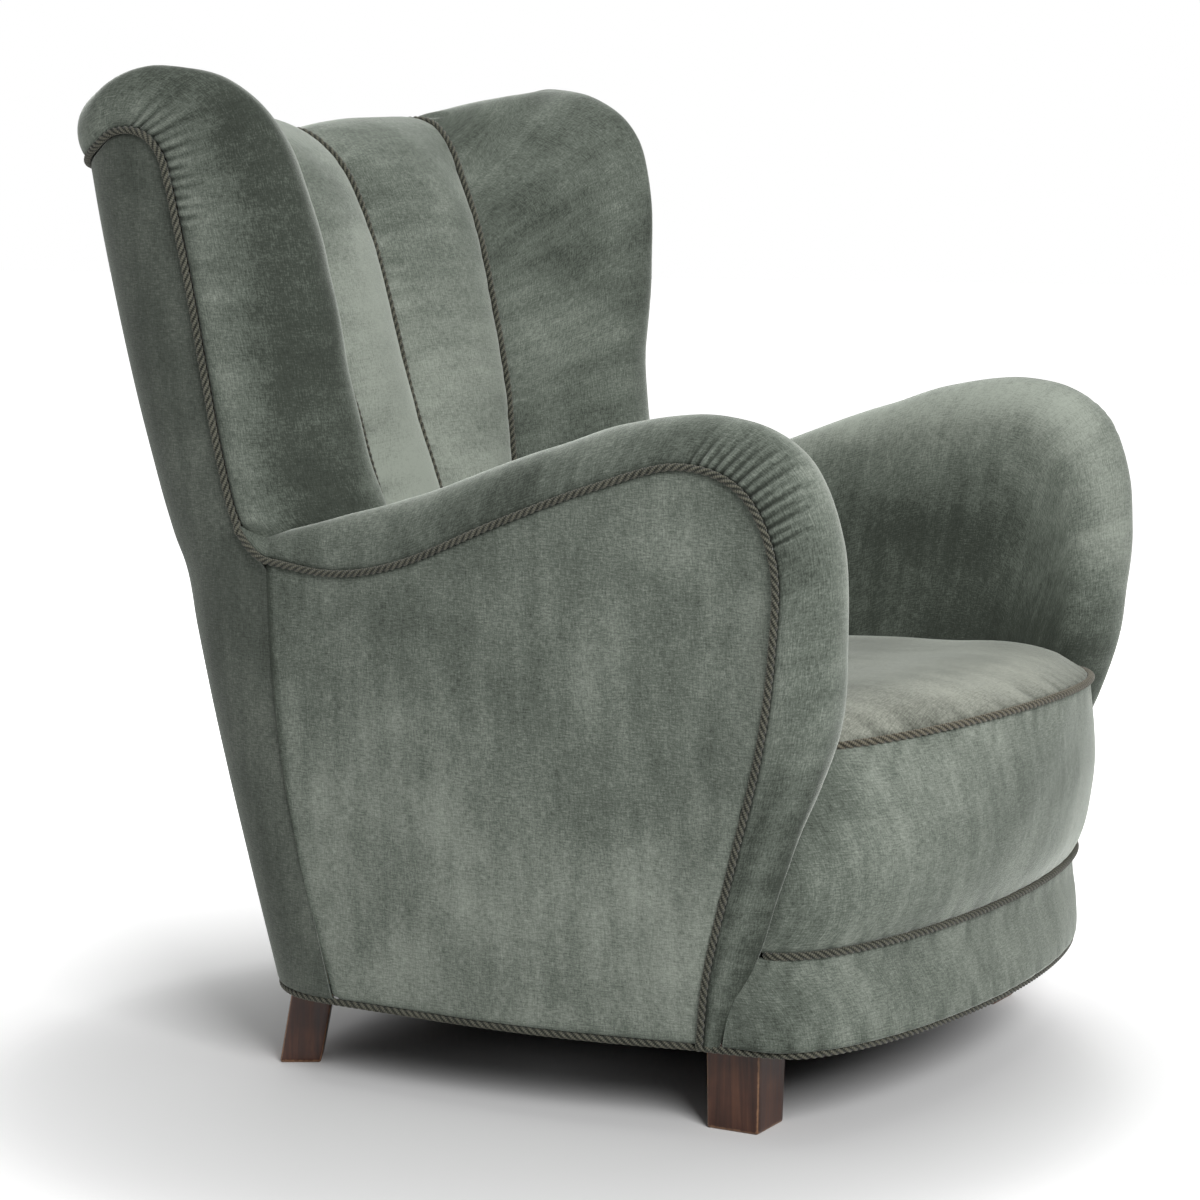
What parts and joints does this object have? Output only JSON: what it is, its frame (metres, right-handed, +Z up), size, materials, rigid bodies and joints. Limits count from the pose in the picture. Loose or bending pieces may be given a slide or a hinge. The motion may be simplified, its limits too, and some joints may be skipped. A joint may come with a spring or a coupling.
{
  "type": "high back lounge chair",
  "caption": "High back lounge chair with channelled wing back, rolled arms, sprung seat, rope cord trim and short wooden legs.",
  "frame": {"origin": "on the floor under the middle of the chair's outline", "axes": "+Z up, the front faces -Y, +X is the sitter's left"},
  "size_m": [0.8188, 0.9535, 0.98],
  "materials": {
    "velvet": "worn grey-green cotton velvet with slubs and a soft pile sheen",
    "rope_cord": "twisted olive-brown rope cord",
    "stained_leg_wood": "dark red-brown stained hardwood, satin, worn at the edges",
    "frame_wood": "plain planed beech",
    "steel": "plain zinc-plated steel",
    "spring_steel": "dull drawn spring wire",
    "jute": "plain woven jute",
    "dust_cloth": "thin black cotton"
  },
  "bodies": {
    "root": {"left_front_leg": "stained_leg_wood", "right_front_leg": "stained_leg_wood", "left_rear_leg": "stained_leg_wood", "right_rear_leg": "stained_leg_wood", "leg_bolts": "steel", "front_rail": "frame_wood", "back_rail": "frame_wood", "left_side_rail": "frame_wood", "right_side_rail": "frame_wood", "left_corner_block": "frame_wood", "right_corner_block": "frame_wood", "left_rear_block": "frame_wood", "right_rear_block": "frame_wood", "block_screws": "steel", "left_arm_post": "frame_wood", "right_arm_post": "frame_wood", "left_arm_rail": "frame_wood", "right_arm_rail": "frame_wood", "left_back_post": "frame_wood", "right_back_post": "frame_wood", "back_top_rail": "frame_wood", "back_lower_rail": "frame_wood", "frame_dowels": "frame_wood", "left_wing_board": "frame_wood", "right_wing_board": "frame_wood", "seat_webbing": "jute", "back_webbing": "jute", "seat_springs": "spring_steel", "seat_hessian": "jute", "seat_pad": "velvet", "seat_border": "velvet", "front_band": "velvet", "dust_cover": "dust_cloth", "left_arm_pad": "velvet", "right_arm_pad": "velvet", "left_arm_panel": "velvet", "right_arm_panel": "velvet", "left_wing_pad": "velvet", "right_wing_pad": "velvet", "left_back_channel": "velvet", "right_back_channel": "velvet", "outer_back_cover": "velvet", "left_arm_cord": "rope_cord", "right_arm_cord": "rope_cord", "wing_cord": "rope_cord", "centre_channel_cord": "rope_cord", "left_channel_cord": "rope_cord", "right_channel_cord": "rope_cord", "seat_cord": "rope_cord", "band_cord": "rope_cord", "base_cord": "rope_cord"}
  },
  "joints": []
}
